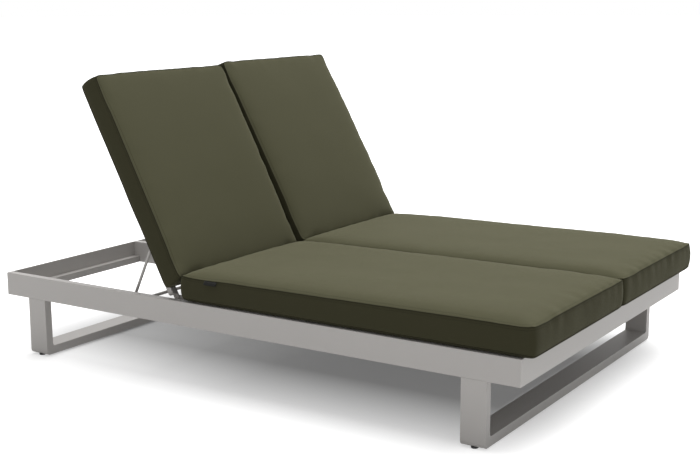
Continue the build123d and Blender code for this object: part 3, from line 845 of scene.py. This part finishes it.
    def settle(self, thing: Object, moved: list[Vector]) -> None:
        """Gives the cover its filled shape, with the movement kept within its caps.

        Args:
            thing: The cover.
            moved: Where the filling has moved each vertex.
        """
        top, held = set(self.top), set(self.held)
        for i, (was, now) in enumerate(zip(self.start, moved)):
            if i in held:
                continue
            shift = now - was
            flat = Vector((shift.x, shift.y, 0))
            if flat.length > 0:
                flat *= self.side_cap * math.tanh(flat.length / self.side_cap) / flat.length
            if i in top:
                full = self.crown * self.crowned(was.x, was.y)
                cap = self.lift_share * full + self.lift_floor
                lift = cap * math.tanh(shift.z / cap) + self.crown_share * full
            else:
                lift = self.side_cap * math.tanh(shift.z / self.side_cap)
                share = min(1.0, was.z / self.side_height(was.y))
                swell = self.bulge * math.sin(math.pi * share) ** self.bulge_power
                flat.x += swell * 2 * was.x / self.width
                flat.y += swell * 2 * was.y / self.length
            thing.data.vertices[i].co = was + flat + Vector((0, 0, lift))
        self.keep_clear(thing)

    def keep_clear(self, thing: Object) -> None:
        """Presses the inner side flat where it would run into the other cushion.

        Args:
            thing: The cover.
        """
        for vertex in thing.data.vertices:
            if vertex.co.x * self.inner > self.room:
                vertex.co.x = self.room * self.inner

    def smooth(self, thing: Object) -> None:
        """Subdivides the cover once and adds its slight unevenness and seam puckers.

        Args:
            thing: The cover.
        """
        finer = thing.modifiers.new("finer", "SUBSURF")
        finer.levels = 1
        finer.render_levels = 1
        seen = thing.evaluated_get(bpy.context.evaluated_depsgraph_get())
        data = bpy.data.meshes.new_from_object(seen)
        thing.modifiers.remove(finer)
        old, thing.data = thing.data, data
        bpy.data.meshes.remove(old)
        slow_scale, (along_scale, away_scale) = self.uneven_scale, self.ripple_scale
        normals = [v.normal.copy() for v in data.vertices]
        for vert, normal in zip(data.vertices, normals):
            x, y, z = vert.co
            if z < self.level:
                continue
            along, inside = self.seam_place(x, y)
            below = max(0.0, self.side_height(y) - z)
            off = max(inside, 0.0) + below
            near = math.exp(-off / self.ripple_reach) * (1 - math.exp(-off / self.ripple_start))
            at = (x * slow_scale + self.seed, y * slow_scale, z * slow_scale)
            slow = noise.noise(Vector(at))
            at = (along * along_scale + self.seed * 3, inside * away_scale, below * away_scale)
            quick = noise.noise(Vector(at))
            vert.co += normal * (self.uneven * slow + self.ripple * near * quick)
        self.keep_clear(thing)

    def pipe_ring(self, mesh: BMesh, path: list[Vector]) -> None:
        """Adds one closed ring of piping to a mesh.

        Args:
            mesh: The mesh, which has both maps.
            path: The points that the ring passes.
        """
        weave_uv = mesh.loops.layers.uv[CLOTH_MAP]
        count, sides = len(path), self.pipe_sides
        turn = [2 * math.pi * k / sides for k in range(sides)]
        rings, travel = [], [0.0]
        for i, point in enumerate(path):
            following = path[(i + 1) % count]
            tangent = (following - path[i - 1]).normalized()
            out = tangent.cross(UP).normalized()
            up = out.cross(tangent).normalized()
            centre = point + (out + up) * (self.pipe * self.pipe_out)
            if centre.x * self.inner > self.room - self.pipe:
                centre.x = (self.room - self.pipe) * self.inner
            around = [centre + self.pipe * (out * math.cos(t) + up * math.sin(t)) for t in turn]
            rings.append([mesh.verts.new(place) for place in around])
            travel.append(travel[-1] + (following - point).length)
        for i in range(count):
            this, after = rings[i], rings[(i + 1) % count]
            for k in range(sides):
                beside = (k + 1) % sides
                quad = mesh.faces.new([this[k], this[beside], after[beside], after[k]])
                quad.smooth = True
                corners = ((i, k), (i, k + 1), (i + 1, k + 1), (i + 1, k))
                for loop, (u, v) in zip(quad.loops, corners):
                    loop[weave_uv].uv = (travel[u], v * self.pipe * self.pipe_map)

    def seam_tubes(self, thing: Object) -> Object:
        """Builds the piping that follows both seams.

        Args:
            thing: The finished cover.

        Returns:
            The piping, in the cushion's own axes.
        """
        mesh = mapped_mesh()
        for numbers in (self.seam, self.hem):
            self.pipe_ring(mesh, [thing.data.vertices[i].co.copy() for i in numbers])
        bmesh.ops.recalc_face_normals(mesh, faces=mesh.faces)
        name = self.name + "_piping"
        return put(name, finished_mesh(name, mesh))

    def make(self, finishes: Finishes) -> None:
        """Makes the cushion and its piping, dresses them and ties them to their body.

        Args:
            finishes: The lounger's finishes.
        """
        cover = self.build()
        moved = self.swell(cover)
        self.settle(cover, moved)
        self.smooth(cover)
        piping = self.seam_tubes(cover)
        # Top cloth, darker side cloth and dark seam cloth, which paint shade on sides, base and hem.
        panels = (finishes.cloth, finishes.painted_shade_gusset, finishes.seam)
        for thing, materials in ((cover, panels), (piping, (finishes.seam,))):
            for material in materials:
                thing.data.materials.append(material)
            thing.data.transform(self.place)
            thing.data.update()
            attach(thing, self.body)
        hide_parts(self.node)
        log.info("%s: %d faces", self.name, len(cover.data.polygons))


@dataclass
class Cushions:
    """The four cushions.

    Attributes:
        width: Distance between the seams of each cushion.
        middle: Distance of each cushion's middle from the lounger's.
        apart: Half the gap that is left between the two halves.
        seat_from: Where the seat cushions start, beyond the foot rail.
        seat_to: Where they end, at the back cushions.
        seat_low: Height of a seat cushion's side at the foot end.
        seat_high: Height of its side at the backrest.
        seat_crown: How far its top swells.
        seat_seeds: Offset of the left one's unevenness, and what the right one adds.
        deck: Height of the slats.
        back_from: Where the back cushions start, along the backrest from its hinge.
        back_to: Where the left and the right one end.
        back_off: How far their back faces stand off the backrest's middle plane.
        back_low: Height of the side at the lower end of the left and right back cushion.
        back_high: Height of their sides at the upper end.
        back_crown: How far their tops swell.
        back_arch: Share of that which is lost by the upper end.
        back_lean: How much further up their lower ends start at the top than at the base.
        back_seeds: Offset of the left one's unevenness, and what the right one adds.
    """

    width: float = 0.665
    middle: float = 0.33575
    apart: float = 0.0006
    seat_from: float = -1.020
    seat_to: float = 0.222
    seat_low: float = 0.089
    seat_high: float = 0.079
    seat_crown: float = 0.024
    seat_seeds: Pair = (3.1, 5.7)
    deck: float = 0.2868
    back_from: float = 0.036
    back_to: Pair = (0.770, 0.782)
    back_off: float = 0.0103
    back_low: Pair = (0.075, 0.094)
    back_high: float = 0.080
    back_crown: float = 0.026
    back_arch: float = 0.6
    back_lean: float = 0.010
    back_seeds: Pair = (11.3, 4.9)

    def make(self, finishes: Finishes) -> None:
        """Makes the four cushions.

        Args:
            finishes: The lounger's finishes.
        """
        turn = Matrix.Rotation(BACK_ANGLE, 4, "X")
        for k, (side, sign) in enumerate(LEFT_RIGHT):
            shared = {"width": self.width, "inner": int(-sign), "room": self.middle - self.apart}
            x = sign * self.middle
            seat_middle = (self.seat_from + self.seat_to) / 2
            Cushion(
                name=f"seat_cushion_cover_{side}",
                node=f"seat_cushion_{side}",
                body="frame",
                place=Matrix.Translation((x, seat_middle, self.deck)),
                length=self.seat_to - self.seat_from,
                low=self.seat_low,
                high=self.seat_high,
                crown=self.seat_crown,
                seed=self.seat_seeds[0] + self.seat_seeds[1] * k,
                **shared,
            ).make(finishes)
            at_hinge = Matrix.Translation((x, HINGE.y, HINGE.z)) @ turn
            back_middle = (self.back_from + self.back_to[k]) / 2
            Cushion(
                name=f"back_cushion_cover_{side}",
                node=f"back_cushion_{side}",
                body=f"backrest_{side}",
                place=at_hinge @ Matrix.Translation((0, back_middle, self.back_off)),
                length=self.back_to[k] - self.back_from,
                low=self.back_low[k],
                high=self.back_high,
                crown=self.back_crown,
                seed=self.back_seeds[0] + self.back_seeds[1] * k,
                arch=self.back_arch,
                lean=self.back_lean,
                **shared,
            ).make(finishes)


@dataclass
class Tag:
    """A blank folded tape sewn in under the top seam on the outer side of a seat cushion.

    Attributes:
        side: Which seat cushion it is on.
        sign: Sign of X on that side.
        start: Lower end along the cushion.
        length: Length of the tape.
        drop: How far it hangs.
        curl: Power of the fold's curve: less makes it squarer.
        splay: How far it stands out for each unit that it hangs.
        fold: Distance between the two layers of the tape.
        bow: Strength of its bow off the cloth, which is greatest halfway along it.
        thickness: Thickness of the tape.
        top: Height of the seam there.
        face: Distance of the cushion's outer side from the middle.
        clear: How far the inner layer keeps off it.
        columns: Number of cells along the tape.
        rows: Number of cells round its fold.
    """

    side: str
    sign: float
    start: float = 0.067
    length: float = 0.049
    drop: float = 0.011
    curl: float = 0.6
    splay: float = 0.75
    fold: float = 0.0016
    bow: float = 0.0006
    thickness: float = 0.0005
    top: float = 0.3655
    face: float = 0.6685
    clear: float = 0.0002
    columns: int = 14
    rows: int = 10

    def point(self, along: float, round_fold: float) -> Triple:
        """Returns a point of the tape.

        Args:
            along: Share of its length.
            round_fold: Share of the way round its fold, from the inner layer to the outer.

        Returns:
            The point, in the lounger's axes.
        """
        turn = math.pi * round_fold
        bow = self.bow * math.sin(math.pi * along)
        fall = math.sin(turn / 2 + math.pi / 4) - math.sin(math.pi / 4)
        height = self.top - self.drop * math.sin(turn) ** self.curl
        off = self.clear + self.fold * round_fold + bow * fall
        off += self.splay * (self.top - height)
        return self.sign * (self.face + off), self.start + self.length * along, height

    def make(self, finishes: Finishes) -> None:
        """Builds the tape as a folded strip that bows a little off the cloth.

        Args:
            finishes: The lounger's finishes.
        """
        mesh = mapped_mesh()
        weave_uv = mesh.loops.layers.uv[CLOTH_MAP]
        columns, rows = self.columns, self.rows
        grid = [
            [mesh.verts.new(self.point(i / columns, k / rows)) for k in range(rows + 1)]
            for i in range(columns + 1)
        ]
        for i in range(columns):
            for k in range(rows):
                corners = ((i, k), (i + 1, k), (i + 1, k + 1), (i, k + 1))
                quad = mesh.faces.new([grid[u][v] for u, v in corners])
                quad.smooth = True
                for loop, (u, v) in zip(quad.loops, corners):
                    loop[weave_uv].uv = (self.length * u / columns, 2 * self.drop * v / rows)
        bmesh.ops.recalc_face_normals(mesh, faces=mesh.faces)
        name = f"seat_cushion_tag_{self.side}"
        thing = put(name, finished_mesh(name, mesh))
        skin = thing.modifiers.new("thickness", "SOLIDIFY")
        skin.thickness = self.thickness
        thing.data.materials.append(finishes.tape)
        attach(thing, "frame")
        log.info("tag, %s", self.side)


# Studio


@dataclass(frozen=True)
class Lamp:
    """A large soft lamp, far enough off to light the whole floor alike.

    Attributes:
        name: Name of the lamp.
        source: Direction that the light comes from.
        spread: Width of the lamp as an angle, in degrees.
        power: Its power in watts for each square metre.
    """

    name: str
    source: Triple
    spread: float
    power: float

    def hang(self) -> None:
        """Adds the lamp to the scene."""
        data = bpy.data.lights.new(self.name, "SUN")
        data.angle = math.radians(self.spread)
        data.energy = self.power
        thing = put(self.name, data)
        thing.rotation_euler = Vector(self.source).to_track_quat("Z", "Y").to_euler()


@dataclass
class Studio:
    """Pale floor with a painted shadow under the lounger, soft lamps and the camera.

    Attributes:
        eye: Where the camera stands.
        yaw: Its heading, from +Y towards +X.
        pitch: Its tilt above the horizon.
        roll: Its lean about its own axis.
        lens_px: Its focal length in pixels of the picture.
        picture_px: Width of the picture in pixels.
        sensor_mm: Width of its sensor.
        far: How far it sees.
        floor_radius: Radius of the floor.
        floor_sides: Number of straight edges round the floor.
        floor_roughness: Roughness of the floor.
        glow: Light that the open floor adds where it is seen or mirrored.
        painted_shadow_glow: Lower light that it adds under the lounger, as painted shadow.
        pale: Paleness of the open floor.
        painted_shadow_pale: Darker paleness of the floor under the lounger: painted shadow.
        painted_shadow_reach: Reach of the deepest painted shadow: sides, foot end and head end.
        painted_shadow_fade: Distances over which the painted shadow gives way to the open floor, in
            the same order.
        sky: Strength of the even light from all round.
        lamps: The lamps.
    """

    eye: Triple = (-3.6251, -2.3275, 1.2625)
    yaw: float = 1.0002
    pitch: float = -0.1933
    roll: float = -0.0024
    lens_px: float = 1237.04
    picture_px: float = 700.0
    sensor_mm: float = 36.0
    far: float = 200.0
    floor_radius: float = 60.0
    floor_sides: int = 96
    floor_roughness: float = 0.9
    glow: float = 0.85
    painted_shadow_glow: float = 0.135
    pale: float = 0.82
    painted_shadow_pale: float = 0.33
    painted_shadow_reach: Triple = (0.30, 0.74, 0.85)
    painted_shadow_fade: Triple = (0.70, 0.33, 0.50)
    sky: float = 0.42
    lamps: tuple[Lamp, ...] = (
        Lamp("overhead softbox", (0.25, 0.08, 1.0), 56.0, 1.98),
        Lamp("side softbox", (-1.0, -0.4, 0.3), 50.0, 0.22),
    )

    def camera(self) -> None:
        """Places the camera where the photograph was taken."""
        data = bpy.data.cameras.new("camera")
        data.sensor_width = self.sensor_mm
        data.lens = self.lens_px / self.picture_px * self.sensor_mm
        data.clip_end = self.far
        cos, sin = math.cos, math.sin
        ahead = cos(self.pitch)
        look = Vector((sin(self.yaw) * ahead, cos(self.yaw) * ahead, sin(self.pitch)))
        right = Vector((cos(self.yaw), -sin(self.yaw), 0))
        up = right.cross(look)
        across = right * cos(self.roll) + up * sin(self.roll)
        upward = up * cos(self.roll) - right * sin(self.roll)
        turn = Matrix((across, upward, -look)).transposed().to_4x4()
        thing = put("camera", data)
        thing.matrix_world = Matrix.Translation(self.eye) @ turn
        bpy.context.scene.camera = thing

    def seen(self, tree: NodeTree) -> NodeSocket:
        """Masks the rays that show the background straight, mirrored or through something clear.

        Args:
            tree: Node tree of the floor or the world.

        Returns:
            The mask's socket.
        """
        path = tree.nodes.new("ShaderNodeLightPath")
        direct, mirrored = path.outputs["Is Camera Ray"], path.outputs["Is Glossy Ray"]
        seen = math_node(tree, "MAXIMUM", direct, mirrored)
        return math_node(tree, "MAXIMUM", seen, path.outputs["Is Transmission Ray"])

    def away(self, tree: NodeTree) -> NodeSocket:
        """Masks the open floor, from 0 under the lounger to 1 away from it.

        Args:
            tree: The floor's node tree.

        Returns:
            The mask's socket.
        """
        # This mask shapes the painted shadow: darker floor colour and lower glow under the lounger.
        place = tree.nodes.new("ShaderNodeTexCoord").outputs["Object"]
        x, head, _ = split_node(tree, place)
        side = math_node(tree, "ABSOLUTE", x)
        foot = math_node(tree, "MULTIPLY", head, -1.0)
        past = [
            math_node(tree, "MULTIPLY_ADD", way, 1.0 / painted_shadow_fade, -reach / painted_shadow_fade)
            for way, reach, painted_shadow_fade in zip((side, foot, head), self.painted_shadow_reach, self.painted_shadow_fade)
        ]
        ends = math_node(tree, "MAXIMUM", past[1], past[2])
        squares = [
            math_node(tree, "POWER", math_node(tree, "MAXIMUM", way, 0.0), 2.0)
            for way in (past[0], ends)
        ]
        return math_node(tree, "SQRT", math_node(tree, "ADD", *squares), clamp=True)

    def floor(self) -> None:
        """Lays the pale floor, which shows the lounger's shadow and a painted shadow under it."""
        mesh = bmesh.new()
        bmesh.ops.create_circle(
            mesh, cap_ends=True, segments=self.floor_sides, radius=self.floor_radius
        )
        thing = put("floor", finished_mesh("floor", mesh))
        material = bpy.data.materials.new("pale floor")
        material.use_nodes = True
        tree = material.node_tree
        shader = tree.nodes["Principled BSDF"]
        away = self.away(tree)
        # Painted shadow: the floor's colour is darker under the lounger.
        shades = [(grey, grey, grey, 1.0) for grey in (self.painted_shadow_pale, self.pale)]
        feed(tree, shader, {"Base Color": mix_colour(tree, away, *shades)})
        feed(tree, shader, {"Roughness": self.floor_roughness, "Specular IOR Level": 0.0})
        glow = tree.nodes.new("ShaderNodeEmission")
        # Painted shadow: the glow is lower under the lounger.
        gain = self.glow - self.painted_shadow_glow
        strength = math_node(tree, "MULTIPLY_ADD", away, gain, self.painted_shadow_glow)
        shown = math_node(tree, "MULTIPLY", self.seen(tree), strength)
        feed(tree, glow, {"Color": WHITE, "Strength": shown})
        both = tree.nodes.new("ShaderNodeAddShader")
        feed(tree, both, {0: shader.outputs[0], 1: glow.outputs[0]})
        feed(tree, tree.nodes["Material Output"], {"Surface": both.outputs[0]})
        thing.data.materials.append(material)

    def world(self) -> None:
        """Surrounds the scene with even pale light."""
        world = bpy.data.worlds.new("studio")
        bpy.context.scene.world = world
        world.use_nodes = True
        tree = world.node_tree
        strength = math_node(tree, "MULTIPLY_ADD", self.seen(tree), 1.0 - self.sky, self.sky)
        feed(tree, tree.nodes["Background"], {"Color": WHITE, "Strength": strength})

    def make(self) -> None:
        """Sets up the whole studio."""
        bpy.context.scene.view_settings.view_transform = "Standard"
        self.camera()
        self.floor()
        self.world()
        for lamp in self.lamps:
            lamp.hang()


def main() -> None:
    """Builds the studio, dresses the frame and makes the soft goods."""
    logging.basicConfig(level=logging.INFO, format="%(message)s")
    Studio().make()
    finishes = Finishes()
    for node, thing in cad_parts.items():
        finishes.dress(node, thing)
    log.info("frame: %d pieces dressed", len(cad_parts))
    Cushions().make(finishes)
    for side, sign in LEFT_RIGHT:
        Tag(side, sign).make(finishes)


if __name__ == "__main__":
    main()
